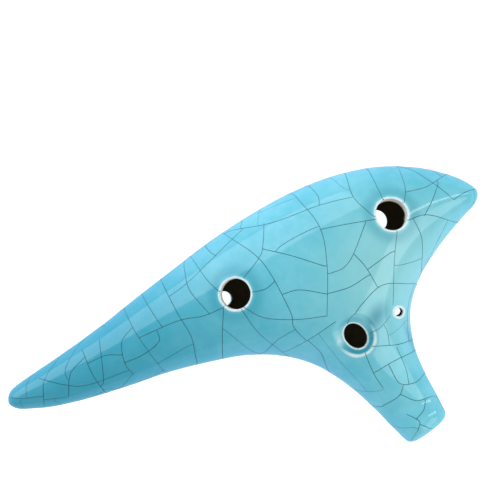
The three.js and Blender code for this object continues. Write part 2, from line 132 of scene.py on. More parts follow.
# The oldest cracks of the thumb side, each with the few points it bends at, on the outline's grid.
MAIN_CRACKS = [
    # across the body, from the crown to the belly
    [(121, 25), (124, 12), (121, -1), (114, -17)],
    [(93, 23), (101, 9), (103, -10), (102, -16), (104, -22)],
    [(79, 20), (81, 11), (83, 6)],
    [(66, 17), (67, 4), (68, -5), (66, -14)],
    [(50, 13), (51, 3), (54, -12)],
    [(31, 6), (31, -3), (32, -10)],
    [(82, 0), (75, 0), (66, 2), (52, 2)],
    # round the left thumb hole and out to the beak
    [(140, 25), (139, 17), (142, 9)],
    [(148, 23), (148, 12)],
    [(158, 20), (157, 13), (155, 9)],
    [(157, 11), (164, 10), (171, 11)],
    [(163, 16), (168, 8), (171, 2)],
    [(168, 9), (164, 5), (159, 1)],
    [(153, 2), (160, 1), (168, -5)],
    [(155, 2), (155, -6), (151, -16)],
    [(148, 0), (143, -9), (137, -22)],
    [(125, 11), (134, 9), (142, 7)],
    # between the thumb hole, the window and the throat
    [(139, 7), (131, -1), (126, -4), (121, -4)],
    [(131, -1), (133, -7), (134, -15)],
    [(117, -10), (125, -11), (132, -10)],
    [(133, -8), (142, -6)],
    [(146, -19), (136, -15), (127, -18), (122, -21)],
    # the middle of the body
    [(97, 23), (110, 20), (127, 19), (139, 17)],
    [(127, 26), (128, 22), (127, 19)],
    [(92, 6), (101, 11), (104, 15), (107, 21)],
    [(103, 13), (111, 7), (119, 0)],
    [(93, 1), (98, 0), (102, 1)],
    [(103, -4), (109, -5), (117, -10)],
    [(89, -3), (94, -9), (104, -14), (114, -17)],
    [(88, -4), (90, -13), (95, -23)],
    [(102, -17), (95, -18), (90, -20)],
    [(116, -20), (106, -22), (97, -23)],
    [(105, -23), (107, -28), (107, -33)],
    [(82, -1), (78, -9), (75, -16)],
    [(80, -8), (84, -16)],
    [(75, 17), (74, 10), (77, 0)],
    [(58, 14), (59, 8), (60, 3)],
    [(99, 22), (91, 19), (75, 13), (67, 11)],
    # the tail
    [(58, 2), (57, -2), (50, -4), (43, -4)],
    [(50, 6), (45, 3), (43, -4), (44, -9)],
    [(38, 7), (36, 0), (34, -6)],
    [(32, 1), (38, 1), (43, -1)],
    [(30, 3), (24, 0), (20, -7)],
    [(13, 3), (21, -3), (28, -6), (43, -7)],
    [(13, -1), (11, -6)],
    # the mouthpiece
    [(121, -34), (121, -42), (122, -48)],
    [(121, -42), (129, -41), (137, -41)],
    [(127, -42), (128, -49), (133, -51), (137, -50)],
    [(129, -50), (126, -53), (120, -54)],
    [(127, -53), (131, -57), (137, -58)],
    [(134, -58), (132, -61), (128, -63)],
    [(126, -60), (129, -64), (127, -67)],
    [(132, -37), (132, -45), (131, -50)],
    [(124, -33), (132, -36), (137, -37)],
    [(131, -28), (131, -31), (130, -35)],
    [(125, -29), (130, -28), (134, -26)],
]

AIM = (0.00894, 0.03626, 0.0181)  # where the camera and the lamps look, in metres
CAMERA_TURN = 23.66  # how far the camera is rolled over the body, in degrees
CAMERA_HEIGHT, CAMERA_LENS, SENSOR_WIDTH = 1.0, 204.4, 36.0
WHITE = (1.0, 1.0, 1.0, 1.0)
FLOOR_SEEN, FLOOR_BASE = (0.93, 0.93, 0.93, 1.0), (0.35, 0.35, 0.35, 1.0)
FLOOR_GLOW, FLOOR_MIRRORED = (0.52, 0.82, 1.10, 1.0), (0.22, 0.36, 0.58, 1.0)
TENT_GLOW = (0.43, 0.46, 0.47, 1.0)  # what the tent sheds on the body
TENT_LOW, TENT_HIGH = (0.26, 0.36, 0.44, 1.0), (0.12, 0.14, 0.15, 1.0)  # what the glaze mirrors of it
# Name, place, size, watts and tint of each lamp, in metres.
LAMPS = [
    ("key", (0.52, -0.62, 0.60), (1.15, 0.6), 4.4, (0.92, 1.0, 1.0)),
    ("fill", (-0.35, 0.85, 0.5), (1.6, 0.9), 10.5, (0.74, 0.86, 0.95)),
    ("strip", (0.78, 0.05, 0.52), (0.07, 0.7), 0.7, (1.0, 1.0, 1.0)),
]


# ---------------------------------------------------------------- sizes and colours


def length(name, millimetres, description):
    """A size that a user may change, held in metres."""
    return bpy.props.FloatProperty(
        name=name, description=description, default=millimetres * MM, min=0.0, unit="LENGTH"
    )


def colour(name, rgb, description):
    return bpy.props.FloatVectorProperty(
        name=name, description=description, default=rgb, size=3, min=0.0, max=1.0, subtype="COLOR"
    )


class OcarinaBodySizes(bpy.types.PropertyGroup):
    """Sizes of the clay body."""

    thumb_depth: length("Thumb depth", 23.5, "From the seam to the top of the thumb side")
    finger_depth: length("Finger depth", 19.5, "From the seam to the crest of the finger side")
    rest_land: length("Rest land", 1.4, "Flattened off the crest that it lies on")
    wall: length("Wall", 4.5, "Clay between the chamber and the outside")
    left_thumb_bore: length("Left thumb bore", 11.2, "Width of the thumb hole by the beak")
    right_thumb_bore: length("Right thumb bore", 10.6, "Width of the thumb hole by the tail")
    strap_bore: length("Strap bore", 2.9, "Width of the hole for a strap")
    window_length: length("Window length", 9.4, "Window along the air stream")
    window_width: length("Window width", 7.3, "Window across the air stream")
    recess_length: length("Recess length", 14.6, "Dished hollow along the air stream")
    recess_width: length("Recess width", 13.2, "Dished hollow across the air stream")
    recess_depth: length("Recess depth", 2.2, "Depth of the dished hollow")


class OcarinaAirwaySizes(bpy.types.PropertyGroup):
    """Sizes of the airway in the mouthpiece."""

    mouth_width: length("Mouth width", 9.4, "Airway's width where the player blows")
    mouth_height: length("Mouth height", 3.2, "Airway's height where the player blows")
    throat_width: length("Throat width", 7.5, "Airway's width at the window")
    throat_height: length("Throat height", 1.3, "Airway's height at the window")
    rise: length("Rise", 11.2, "Height of the throat above the seam")
    drop: length("Drop", 0.8, "Depth of the mouth below the seam")
    slab: length("Slab", 1.1, "Thickness of the airway's floor and roof")


class OcarinaGlazeLooks(bpy.types.PropertyGroup):
    """Colours of the glaze and the clay."""

    body: colour("Body", (0.095, 0.50, 0.61), "Glaze where it lies at its usual thickness")
    pale: colour("Pale", (0.30, 0.72, 0.80), "Glaze where it has run thin")
    # Paler glaze round one point of the body: partly thinner glaze, partly a painted sheen
    thin_glaze_and_sheen: colour("Worn", (0.42, 0.76, 0.74), "Glaze over the shoulder, where it lies thinnest")
    # Painted shade: the tail colour darkens the glaze towards the tail, in place of the dark reflection
    # there
    tail: colour("Tail", (0.034, 0.31, 0.435), "Glaze on the tail, where it lies thicker")
    # Partly painted shade: the deep colour darkens the glaze where it pools round the holes, in the window's
    # dish and in the patches beside it
    deep: colour("Deep", (0.018, 0.27, 0.365), "Glaze where it has pooled")
    rim: colour("Rim", (0.83, 0.90, 0.88), "Clay showing white through the glaze at a rim")
    clay: colour("Clay", (0.92, 0.80, 0.72), "Bare fired clay in the bores")
    # Painted shade: the chamber colour darkens the same clay, which is dark inside only for want of light
    chamber: colour("Chamber", (0.22, 0.16, 0.09), "Clay inside the chamber")
    craze: colour("Craze", (0.012, 0.10, 0.13), "Stain in the cracks of the glaze")


class OcarinaCrazeSizes(bpy.types.PropertyGroup):
    """How the glaze has crazed."""

    line: length("Line", 0.31, "Width of a main crack")
    cell: length("Cell", 6.6, "Widest distance from a crack on the body")
    tail_cell: length("Tail cell", 3.8, "Widest distance from a crack at the tail tip")
    seed: bpy.props.IntProperty(name="Seed", description="Which craze pattern", default=7)


def sizes(group):
    """The sizes of a property group by name, in millimetres."""
    names = group.bl_rna.properties.keys()
    return {n: getattr(group, n) / MM for n in names if n not in {"rna_type", "name", "seed"}}


# ---------------------------------------------------------------- plan curves


def on_plan(points):
    """Drawn points stretched to the real length and width, in millimetres."""
    return np.asarray(points, float) * (BODY_LENGTH / DRAWN[0], BODY_WIDTH / DRAWN[1])


def at_knot(knots, number):
    """Points of the smooth closed curve through the knots, by knot number."""
    number = np.asarray(number, float)
    whole = np.floor(number).astype(int)
    t = (number - whole)[..., None]
    p0, p1, p2, p3 = (knots[(whole + step) % len(knots)] for step in (-1, 0, 1, 2))
    bend = 2 * p0 - 5 * p1 + 4 * p2 - p3
    swing = 3 * p1 - p0 - 3 * p2 + p3
    return 0.5 * (2 * p1 + (p2 - p0) * t + bend * t**2 + swing * t**3)


def inset(knots, first, last, distance):
    """Points that lie inward of the knots by a distance; the outline runs clockwise."""
    number = np.arange(first, last + 1)
    along = at_knot(knots, number + 0.05) - at_knot(knots, number - 0.05)
    along /= np.linalg.norm(along, axis=1, keepdims=True)
    return at_knot(knots, number) + distance * np.stack([along[:, 1], -along[:, 0]], 1)


def smoothstep(low, high, value):
    t = np.clip((value - low) / (high - low), 0, 1)
    return t * t * (3 - 2 * t)


def lerp(a, b, share):
    return a + (b - a) * share


def fullness(x, y):
    """How full the body is at a point of the plan, as a share of its fullest."""
    wide, deep = BODY_LENGTH / DRAWN[0], BODY_WIDTH / DRAWN[1]
    tail = lerp(TAIL_FULLNESS, 1, smoothstep(TAIL_SWELL[0] * wide, TAIL_SWELL[1] * wide, x))
    beak = lerp(1, BEAK_FULLNESS, smoothstep(BEAK_TAPER[0] * wide, BEAK_TAPER[1] * wide, x))
    stem = lerp(STEM_FULLNESS, 1, smoothstep(STEM_TAPER[0] * deep, STEM_TAPER[1] * deep, y))
    lip = lerp(1, LIP_FULLNESS, smoothstep(LIP_SWELL[0] * deep, LIP_SWELL[1] * deep, -y))
    return tail * beak * stem * lip


def plan_depth(knots, x, y):
    """How deep points lie inside a closed curve, smooth right across the curve.

    Four over the integral, all round the point, of one over the distance to the curve.
    Outside the curve it is below zero.
    """
    edge = at_knot(knots, np.arange(len(knots) * OUTLINE_SPLIT) / OUTLINE_SPLIT)
    total = np.zeros(np.shape(x))
    for (ax, ay), (bx, by) in zip(edge, np.roll(edge, -1, axis=0)):
        fx, fy, tx, ty = ax - x, ay - y, bx - x, by - y
        near, far = np.hypot(fx, fy), np.hypot(tx, ty)
        across = tx * fy - ty * fx
        total += across / (near * far + fx * tx + fy * ty) * (1 / near + 1 / far)
    return 4 / total


class Plan:
    """The squared bulge of a closed curve, kept on a grid and read back smoothly anywhere."""

    def __init__(self, knots, low, high, pitch):
        self.low, self.pitch = np.asarray(low, float), pitch
        count = np.ceil((np.asarray(high) - low) / pitch).astype(int) + 1
        self.x, self.y = (self.low[i] + pitch * np.arange(count[i]) for i in (0, 1))
        x, y = np.meshgrid(self.x, self.y, indexing="ij")
        heart = on_plan([HEART])
        most = plan_depth(knots, heart[:, 0], heart[:, 1]) * fullness(heart[:, 0], heart[:, 1])
        self.bulge = np.maximum(plan_depth(knots, x, y) * fullness(x, y) / most, -1)

    def grid(self):
        """Bulge and its two slopes at the grid's own points, ready to meet heights."""
        slopes = np.gradient(self.bulge, self.pitch)
        return tuple(a[:, :, None].astype(np.float32) for a in (self.bulge, *slopes))

    def at(self, x, y):
        """Bulge and its two slopes at any points."""
        found = []
        for value, low, count in ((x, self.low[0], len(self.x)), (y, self.low[1], len(self.y))):
            place = np.clip((value - low) / self.pitch, 1, count - 2.001)
            whole = place.astype(int)
            t = place - whole
            weight = [-(t**3) + 2 * t**2 - t, 3 * t**3 - 5 * t**2 + 2]
            weight += [-3 * t**3 + 4 * t**2 + t, t**3 - t**2]
            change = [-3 * t**2 + 4 * t - 1, 9 * t**2 - 10 * t, -9 * t**2 + 8 * t + 1]
            change += [3 * t**2 - 2 * t]
            found.append((whole, weight, change))
        (ix, wx, cx), (iy, wy, cy) = found
        bulge = along = across = 0
        for i in range(4):
            row = [self.bulge[ix + i - 1, iy + j - 1] for j in range(4)]
            here = sum(row[j] * wy[j] for j in range(4)) / 2
            bulge = bulge + here * wx[i] / 2
            along = along + here * cx[i] / 2
            across = across + sum(row[j] * cy[j] for j in range(4)) / 2 * wx[i] / 2
        return bulge, along / self.pitch, across / self.pitch


# ---------------------------------------------------------------- the clay as a field


def both(a, b, radius=0.0):
    """Inside both shapes, with the edge between them rounded to a radius."""
    if not radius:
        return np.maximum(a, b)
    corner = np.hypot(np.maximum(radius + a, 0), np.maximum(radius + b, 0))
    return np.minimum(-radius, np.maximum(a, b)) + corner


def dome(plan, z, upper, lower):
    """About the distance to a body that bulges from its plan; below zero inside."""
    bulge, along, across = plan
    depth = np.where(z > 0, upper, lower).astype(z.dtype)
    slope = np.sqrt(along**2 + across**2 + (2 * z / depth**2) ** 2)
    return ((z / depth) ** 2 - bulge) / np.maximum(slope, LEAST_SLOPE)


def oval(offsets, halves):
    """About the distance to an oval, in as many directions as are given."""
    scaled = np.sqrt(sum((o / h) ** 2 for o, h in zip(offsets, halves))) + 1e-6
    slope = np.sqrt(sum((o / h**2) ** 2 for o, h in zip(offsets, halves))) + 1e-6
    return scaled * (scaled - 1) / slope


class Clay:
    """The fired clay: the domed body with its chamber, holes, window and airway."""

    SOFT_HOLE, SOFT_SMALL, SOFT_WINDOW, SOFT_RECESS = 0.5, 0.5, 0.4, 1.8
    SOFT_MOUTH, SOFT_SLOT, SOFT_LAND, SOFT_STRAP, SOFT_INSIDE = 2.2, 0.6, 4.0, 0.6, 0.4

    def __init__(self, body, airway, pitch):
        self.body, self.airway = dict(body), dict(airway)
        size = self.body
        knots = on_plan(TAIL_TIP + CROWN + BEAK_TIP + THROAT + MOUTH_END + BELLY)
        start = {"crown": len(TAIL_TIP)}
        start["throat"] = start["crown"] + len(CROWN) + len(BEAK_TIP)
        start["mouth"] = start["throat"] + len(THROAT)
        start["belly"] = start["mouth"] + len(MOUTH_END)
        self.window = on_plan(WINDOW_AT)
        mouth = at_knot(knots, start["mouth"] + 1)
        self.way = (mouth - self.window) / np.linalg.norm(mouth - self.window)
        self.side = np.array([-self.way[1], self.way[0]])
        self.edge = size["window_length"] / 2
        self.end = np.linalg.norm(mouth - self.window) - MOUTH_TRIM
        wall = size["wall"]
        inner = np.concatenate(
            [
                on_plan([CHAMBER_TAIL_END]),
                inset(knots, start["crown"] + 1, start["crown"] + 12, wall),
                on_plan([CHAMBER_BEAK_END]),
                inset(knots, start["throat"] + 1, start["throat"] + 3, wall),
                on_plan(CHAMBER_SHOULDER),
                [self.window + self.way * (self.edge + THROAT_OVERRUN)],
                on_plan([CHAMBER_HEEL]),
                inset(knots, start["belly"] + 4, start["belly"] + 10, wall),
            ]
        )
        low, high = knots.min(0) - MARGIN, knots.max(0) + MARGIN
        self.outline = knots
        self.plan = Plan(knots, low, high, pitch)
        self.inner_plan = Plan(inner, low, high, pitch)
        self.heights = (size["thumb_depth"], size["finger_depth"])
        self.holes = [
            self.hole(at, size[name], 1, self.SOFT_HOLE) for at, name in THUMB_HOLES
        ] + [self.hole(at, bore, -1, self.SOFT_SMALL) for at, bore in FINGER_HOLES]
        self.strap = on_plan(STRAP_AT)
        self.recess_stand = self.stand(WINDOW_AT, size["recess_width"] / 3, 1)
        edge = self.window - self.way * self.edge
        over_edge = self.heights[0] * math.sqrt(self.plan.at(*edge[:, None])[0][0])
        self.blade_top = over_edge - size["recess_depth"] - BLADE_EDGE

    def stand(self, at, span, side):
        """Where the surface is over a drawn point, and the way it faces there."""
        x, y = on_plan(at)
        half = span / 2
        places = np.array([[x, y], [x + half, y], [x - half, y], [x, y + half], [x, y - half]])
        depth = self.heights[0] if side > 0 else self.heights[1]
        here, right, left, fore, back = depth * np.sqrt(self.plan.at(*places.T)[0])
        facing = np.array([left - right, back - fore, side * span])
        return np.array([x, y, side * here]), facing / np.linalg.norm(facing)

    def hole(self, at, bore, side, soft):
        centre, axis = self.stand(at, bore, side)
        return {"centre": centre, "axis": axis, "radius": bore / 2, "soft": soft}

    def in_stem(self, x, y):
        """Distance down the stem from the window, and aside from its middle."""
        dx, dy = x - self.window[0], y - self.window[1]
        return dx * self.way[0] + dy * self.way[1], dx * self.side[0] + dy * self.side[1]

    def air(self, along):
        """Middle height, half height and half width of the airway down the stem."""
        share, size = (along - self.edge) / (self.end - self.edge), self.airway
        middle = lerp(size["rise"], -size["drop"], share)
        half = lerp(size["throat_height"], size["mouth_height"], share) / 2
        return middle, half, lerp(size["throat_width"], size["mouth_width"], share) / 2

    def hole_distance(self, hole, x, y, z):
        """Distance to the bore's wall, and height over the surface it stands on."""
        rel = [v - c for v, c in zip((x, y, z), hole["centre"])]
        up = sum(r * a for r, a in zip(rel, hole["axis"]))
        out = np.sqrt(np.maximum(sum(r * r for r in rel) - up**2, 1e-9)) - hole["radius"]
        return out, up

    def recess(self, x, y, z):
        centre, axis = self.recess_stand
        rel = [v - c for v, c in zip((x, y, z), centre)]
        long = np.array([*self.way, 0.0])
        long -= axis * (long @ axis)
        long /= np.linalg.norm(long)
        wide = np.cross(axis, long)
        turned = [sum(r * d for r, d in zip(rel, way)) for way in (long, wide, axis)]
        size = self.body
        halves = (size["recess_length"] / 2, size["recess_width"] / 2, size["recess_depth"])
        return oval(turned, halves)

    def skin(self, x, y, z, plan):
        """The outside of the body before any hole is made in it."""
        along, _ = self.in_stem(x, y)
        found = both(dome(plan, z, *self.heights), along - self.end, self.SOFT_MOUTH)
        land = self.heights[1] - self.body["rest_land"]
        found = both(found, -land - z, self.SOFT_LAND)
        return both(found, -self.recess(x, y, z), self.SOFT_RECESS)

    def distance(self, x, y, z, plan, inner):
        """The finished clay, below zero inside it."""
        size, wall = self.body, self.body["wall"]
        found = self.skin(x, y, z, plan)
        for hole in self.holes:
            out, up = self.hole_distance(hole, x, y, z)
            found = both(found, -np.maximum(out, -up - 2 * wall), hole["soft"])
        along, aside = self.in_stem(x, y)
        window = oval((along, aside), (self.edge, size["window_width"] / 2))
        found = both(found, -np.maximum(window, SEAM_GAP - z), self.SOFT_WINDOW)
        strap = np.hypot(x - self.strap[0], y - self.strap[1]) - size["strap_bore"] / 2
        found = both(found, -strap, self.SOFT_STRAP)
        middle, half, wide = self.air(along)
        fall = (self.airway["rise"] + self.airway["drop"]) / (self.end - self.edge)
        lift, lean = np.abs(z - middle) - half, math.hypot(1, fall)
        reach = np.maximum(np.abs(aside) - wide, self.edge - 1 - along)
        found = both(found, -np.maximum(lift / lean, reach), self.SOFT_SLOT)
        depths = [depth - wall for depth in self.heights]
        found = both(found, -dome(inner, z, *depths), self.SOFT_INSIDE)
        pocket = np.maximum((lift - self.airway["slab"] - FIT) / lean, reach)
        pocket = np.maximum(pocket, along - self.end + SLAB_SETBACK)
        return np.maximum(np.maximum(found, -pocket), -self.under_blade(along, aside, z))

    def under_blade(self, along, aside, z):
        """The clay taken away under the blade, to leave it a thin edge."""
        reach = self.edge + BLADE_CUTBACK
        rise = self.body["wall"] / 2 / reach
        found = (z - self.blade_top - along * rise) / math.hypot(1, rise)
        found = np.maximum(found, np.abs(aside) - self.body["window_width"] / 2)
        return np.maximum(np.maximum(found, -z), np.abs(along + reach / 2) - reach / 2)

    def at(self, points):
        """The finished clay's distance at points in rows."""
        x, y, z = points.T
        return self.distance(x, y, z, self.plan.at(x, y), self.inner_plan.at(x, y))

    def facing(self, points, field, step=0.03):
        """The way a field rises fastest at points in rows, and how fast."""
        rise = np.empty_like(points)
        for axis in range(3):
            move = np.zeros(3)
            move[axis] = step
            rise[:, axis] = (field(points + move) - field(points - move)) / (2 * step)
        speed = np.linalg.norm(rise, axis=1, keepdims=True)
        return rise / np.maximum(speed, 1e-6), np.maximum(speed[:, 0], 0.2)

    def settle(self, points, field, rounds):
        """Moves points onto the surface where a field is zero."""
        for _ in range(rounds):
            way, speed = self.facing(points, field)
            step = np.clip(field(points) / speed, -0.3, 0.3)
            points = points - way * step[:, None]
        return points


# ---------------------------------------------------------------- surface of the field


def untangle(values):
    """Fills a corner of each grid square whose opposite corners alone lie inside.

    Two sheets of the surface would otherwise meet along an edge there.
    """
    square = [(0, 0), (1, 0), (1, 1), (0, 1)]
    for _ in range(20):
        tangled = 0
        for one, two in ((0, 1), (1, 2), (0, 2)):
            parts = []
            for u, v in square:
                cut = [slice(None)] * 3
                cut[one], cut[two] = slice(u, u - 1 or None), slice(v, v - 1 or None)
                parts.append(values[tuple(cut)] < 0)
            a, b, c, d = parts
            for place in np.argwhere((a == c) & (b == d) & (a != b)):
                corners = [place.copy() for _ in square]
                for corner, (u, v) in zip(corners, square):
                    corner[one] += u
                    corner[two] += v
                outside = [c for c in corners if values[tuple(c)] >= 0]
                if len(outside) == 2:
                    faintest = min(outside, key=lambda c: values[tuple(c)])
                    values[tuple(faintest)] = -0.01
                    tangled += 1
        if not tangled:
            return


def surface_net(values, low, pitch):
    """Points and four-sided faces of the surface where a grid of values crosses zero."""
    inside = values < 0
    corners = [(i, j, k) for i in (0, 1) for j in (0, 1) for k in (0, 1)]
    shape = np.array(values.shape) - 1
    seen = sum(inside[tuple(slice(c, c + n) for c, n in zip(o, shape))].astype(np.int8) for o in corners)
    cells = np.argwhere((seen > 0) & (seen < 8))
    number = np.full(shape, -1, np.int32)
    number[tuple(cells.T)] = np.arange(len(cells))
    held = {o: values[tuple((cells + o).T)].astype(float) for o in corners}
    total, count = np.zeros((len(cells), 3)), np.zeros(len(cells))
    for a in corners:
        for axis in range(3):
            if a[axis]:
                continue
            b = tuple(1 if i == axis else a[i] for i in range(3))
            cross = (held[a] < 0) != (held[b] < 0)
            share = np.where(cross, held[a] / np.where(cross, held[a] - held[b], 1), 0)
            place = np.tile(np.array(a, float), (len(cells), 1))
            place[:, axis] += share
            total += place * cross[:, None]
            count += cross
    points = np.asarray(low) + pitch * (cells + total / count[:, None])
    faces = []
    for axis in range(3):
        ahead = [slice(None)] * 3
        behind = [slice(None)] * 3
        ahead[axis], behind[axis] = slice(1, None), slice(None, -1)
        turned = inside[tuple(behind)].astype(np.int8) - inside[tuple(ahead)]
        one, two = (axis + 1) % 3, (axis + 2) % 3
        for sign in (1, -1):
            at = np.argwhere(turned == sign)
            round_edge = []
            for u, v in ((-1, -1), (0, -1), (0, 0), (-1, 0)):
                cell = at.copy()
                cell[:, one] += u
                cell[:, two] += v
                round_edge.append(number[tuple(cell.T)])
            faces.append(np.stack(round_edge[:: sign], 1))
    return points, np.concatenate(faces)


def halves(points, faces):
    """The upper and the lower half of a closed mesh, each closed with a flat face at z = 0."""
    made = []
    for side in (1, -1):
        bm = bmesh.new()
        mesh = bpy.data.meshes.new("half")
        mesh.from_pydata(points.tolist(), [], faces.tolist())
        bm.from_mesh(mesh)
        bpy.data.meshes.remove(mesh)
        everything = bm.verts[:] + bm.edges[:] + bm.faces[:]
        cut = bmesh.ops.bisect_plane(
            bm, geom=everything, dist=1e-3, plane_co=(0, 0, 0), plane_no=(0, 0, -side), clear_outer=True
        )
        rim = [e for e in cut["geom_cut"] if isinstance(e, bmesh.types.BMEdge)]
        rim = [e for e in rim if e.is_valid and len(e.link_faces) == 1]
        cap = bmesh.ops.triangle_fill(bm, use_beauty=True, edges=rim, normal=(0, 0, -side))
        flat = [f for f in cap["geom"] if isinstance(f, bmesh.types.BMFace)]
        for face in flat:
            if face.normal.z * side > 0:
                face.normal_flip()
        bmesh.ops.triangulate(bm, faces=[f for f in bm.faces if len(f.verts) > 3])
        if any(len(e.link_faces) != 2 for e in bm.edges):
            loose = sum(len(e.link_faces) != 2 for e in bm.edges)
            raise RuntimeError(f"{loose} edges of a half of the body aren't closed")
        made.append(bm)
    return made


def to_row(clay):
    """The shift from the drawn plan to the row frame, in millimetres."""
    outline = at_knot(clay.outline, np.linspace(0, len(clay.outline), 4000))
    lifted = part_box("back_shell")[0].z / MM - SEAM_GAP / 2
    reach = CAD_BOX[1][0] / MM - outline[:, 0].max()
    return np.array([reach, CAD_BOX[1][1] / MM - outline[:, 1].max(), lifted])


def finish_piece(name, mesh, material, replaced=()):
    """Links a finished mesh as a piece of the ocarina."""
    piece = bpy.data.objects.new(name, mesh)
    bpy.context.scene.collection.objects.link(piece)
    mesh.materials.clear()
    mesh.materials.append(material)
    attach(piece, "root")
    if replaced:
        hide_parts(*replaced)
    return piece


_clay = {}


def clay_now():
    """The clay as the scene's sizes give it, worked out once for each set of sizes."""
    scene = bpy.context.scene
    body, airway = sizes(scene.ocarina_body), sizes(scene.ocarina_airway)
    key = json.dumps([body, airway])
    if key not in _clay:
        _clay[key] = Clay(body, airway, FINE_PITCH)
    return _clay[key]


def patch(x, y, middle, way, long, wide):
    """A soft oval patch on the plan, full in its middle and gone at its rim."""
    way = np.array(way) / math.hypot(*way)
    dx, dy = x - middle[0], y - middle[1]
    along, aside = dx * way[0] + dy * way[1], dy * way[0] - dx * way[1]
    return 1 - smoothstep(0, 1, np.hypot(along / long, aside / wide))


def glaze_marks(clay, points):
    """For each point: how bare, how white, how much pooled glaze and painted shade, and how deep inside it
    is.
    """
    x, y, z = points.T
    under = -clay.skin(x, y, z, clay.plan.at(x, y))
    thumb_side = smoothstep(-1, 1, z)
    rim, ring = np.zeros(len(points)), np.zeros(len(points))
    for hole in clay.holes:
        out, up = clay.hole_distance(hole, x, y, z)
        near = 1 - smoothstep(0.5, 1.15, out)
        outside = smoothstep(-6, -3, up)
        rim = np.maximum(rim, near * outside)
        ring = np.maximum(ring, smoothstep(0.9, 2.0, out) * (1 - smoothstep(2.5, 6.5, out)) * outside)
    along, aside = clay.in_stem(x, y)
    size = clay.body
    window = oval((along, aside), (clay.edge, size["window_width"] / 2))
    window_rim = (1 - smoothstep(0.2, 0.75, window)) * thumb_side
    strap = np.hypot(x - clay.strap[0], y - clay.strap[1]) - size["strap_bore"] / 2
    strap_rim = 1 - smoothstep(0.5, 1.4, strap)
    mouth = smoothstep(-2.0, -0.2, along - clay.end)
    middle, half, wide = clay.air(along)
    slot = np.maximum(np.abs(z - middle) - half, np.abs(aside) - wide)
    mouth_rim = mouth * (1 - smoothstep(0.3, 1.5, slot))
    dish = oval((along, aside), (size["recess_length"] / 2, size["recess_width"] / 2))
    # Pooled glaze and painted shade in the window's dish, strongest on the side towards the mouth
    hollow = (1 - smoothstep(-0.9, 0.0, dish)) * smoothstep(0.3, 0.9, window) * thumb_side
    lip = (1 - smoothstep(0.2, 0.95, np.abs(dish))) * thumb_side
    onward = smoothstep(-0.4, 0.8, along / (np.hypot(along, aside) + 0.1))
    lip *= 0.75 * onward
    hollow *= lerp(0.35, 1.0, onward)
    # These patches darken the glaze as painted shade beside the window and along the stem
    for strength, *place in SHADE_PATCHES:
        hollow = np.maximum(hollow, strength * patch(x, y, *place) * thumb_side)
    for strength, *place in THIN_PATCHES:
        lip = np.maximum(lip, strength * patch(x, y, *place) * thumb_side)
    white = np.maximum.reduce([rim, window_rim, strap_rim, mouth_rim, lip])
    return {
        "bare": smoothstep(0.7, 2.2, under),
        "white": white,
        "pool_and_shade": np.maximum(hollow, 0.4 * ring),
        # Painted shade: clay deep inside the body takes the dark chamber colour
        "inside": smoothstep(2.6, 3.6, under),
    }


def build_body(context):
    clay = clay_now()
    plan = clay.plan
    pitch = plan.pitch
    deep = max(clay.heights) + MARGIN
    z = np.arange(-deep, deep, pitch).astype(np.float32)[None, None, :]
    x = plan.x.astype(np.float32)[:, None, None]
    y = plan.y.astype(np.float32)[None, :, None]
    values = clay.distance(x, y, z, plan.grid(), clay.inner_plan.grid())
    untangle(values)
    points, faces = surface_net(values, (plan.x[0], plan.y[0], -deep), pitch)
    points = clay.settle(points, clay.at, 3)
    shift = to_row(clay)
    material = glaze_material(context.scene.ocarina_looks)
    names = (("glazed_back_shell", ("back_shell", "labium_blade")), ("glazed_front_shell", ("front_shell",)))
    for (name, replaced), bm in zip(names, halves(points, faces)):
        mesh = bpy.data.meshes.new(name)
        bm.to_mesh(mesh)
        bm.free()
        places = np.empty(len(mesh.vertices) * 3, np.float32)
        mesh.vertices.foreach_get("co", places)
        places = places.reshape(-1, 3).astype(float)
        normals, _ = clay.facing(places, clay.at)
        for label, values in glaze_marks(clay, places).items():
            mesh.attributes.new(label, "FLOAT", "POINT").data.foreach_set("value", values.astype(np.float32))
        mesh.vertices.foreach_set("co", ((places + shift) * MM).astype(np.float32).ravel())
        mesh.update()
        shade_with(mesh, places, normals)
        finish_piece(name, mesh, material, replaced)


def shade_with(mesh, places, normals):
    """Shades the curved faces with the field's own normals and the flat seam as flat."""
    corners = np.empty(len(mesh.loops), np.int32)
    mesh.loops.foreach_get("vertex_index", corners)
    triangles = corners.reshape(-1, 3)
    flat = (np.abs(places[triangles, 2]) < 1e-4).all(axis=1)
    side = np.cross(
        places[triangles[:, 1]] - places[triangles[:, 0]], places[triangles[:, 2]] - places[triangles[:, 0]]
    )
    side /= np.maximum(np.linalg.norm(side, axis=1, keepdims=True), 1e-12)
    smooth = normals[triangles]
    off = np.einsum("fij,fj->fi", smooth, side) < 0.3
    smooth[off] = np.broadcast_to(side[:, None], smooth.shape)[off]
    smooth[flat] = side[flat][:, None]
    mesh.shade_smooth()
    mesh.normals_split_custom_set(smooth.reshape(-1, 3).astype(np.float32).tolist())


# ---------------------------------------------------------------- materials


